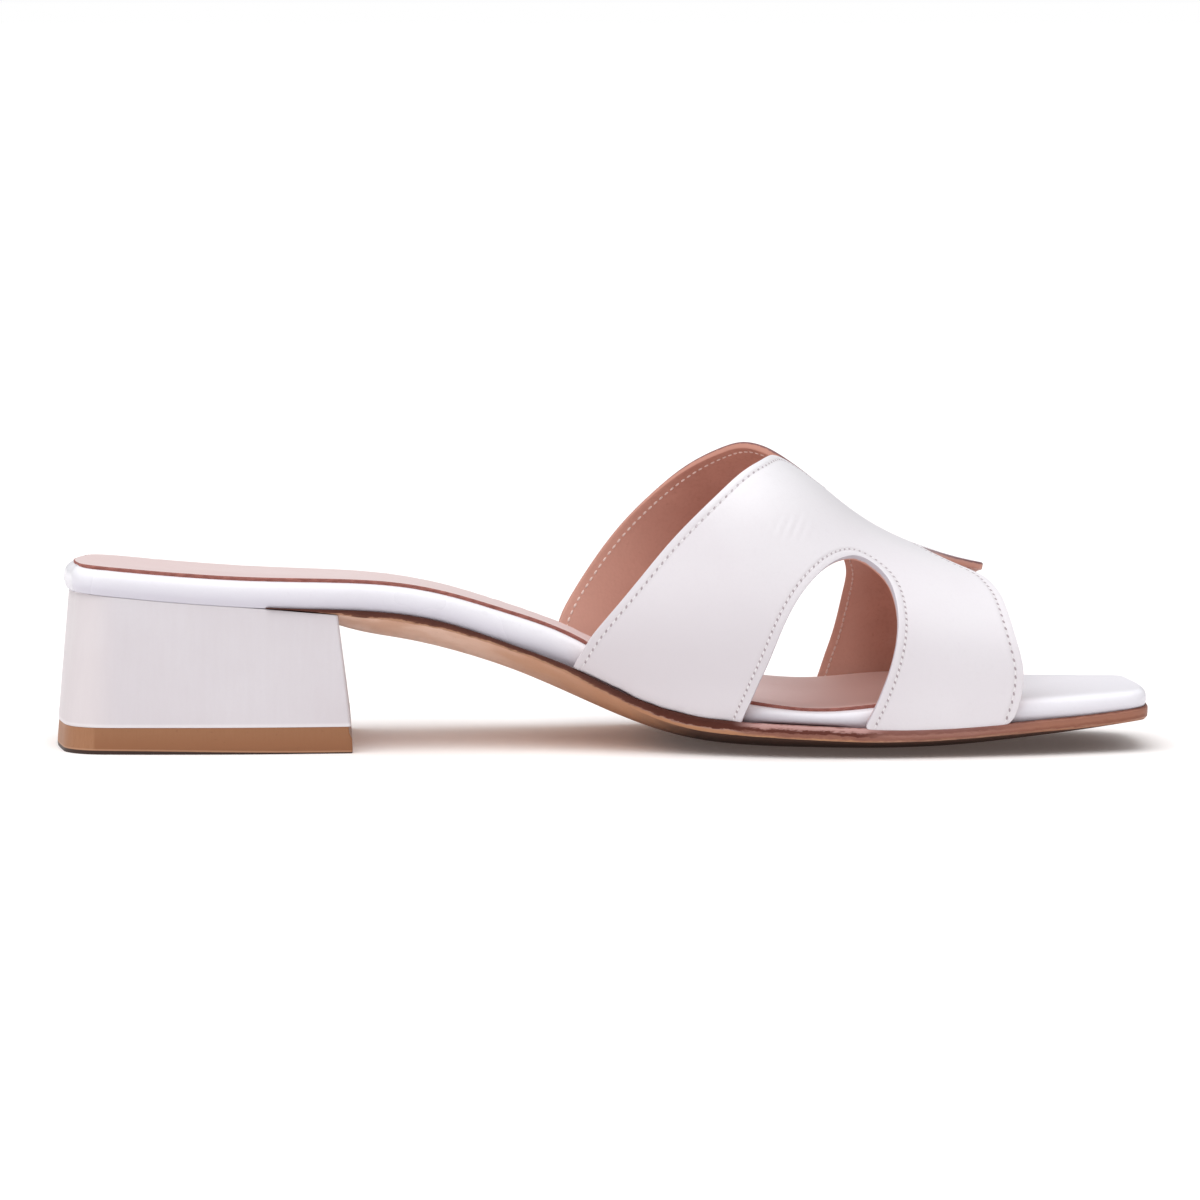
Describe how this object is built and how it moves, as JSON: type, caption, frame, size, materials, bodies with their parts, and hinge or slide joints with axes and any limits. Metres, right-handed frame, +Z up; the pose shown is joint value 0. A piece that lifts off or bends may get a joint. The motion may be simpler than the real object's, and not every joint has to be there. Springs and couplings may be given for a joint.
{
  "type": "slide sandal",
  "caption": "Woman's left mule sandal: one leather band with notched edges and an opening in each side, low block heel, square open toe.",
  "frame": {"origin": "on the floor, under the middle of the shoe's bounding box", "axes": "+X from the heel to the toe, +Y to the outer side of the foot (the shoe's left), +Z up"},
  "size_m": [0.2542, 0.0898, 0.069],
  "materials": {
    "outsole": "brown edge, natural tan underside",
    "insole_wrapped": "smooth white, low sheen",
    "sock": "pale pink, matte",
    "heel_block": "white leather cover, matte",
    "heel_lift": "tan stacked leather, semi-gloss",
    "upper": "white calf leather with a terracotta lining"
  },
  "bodies": {
    "root": {"outsole": "outsole", "insole_wrapped": "insole_wrapped", "sock": "sock", "heel_block": "heel_block", "heel_lift": "heel_lift", "upper": "upper"}
  },
  "joints": []
}
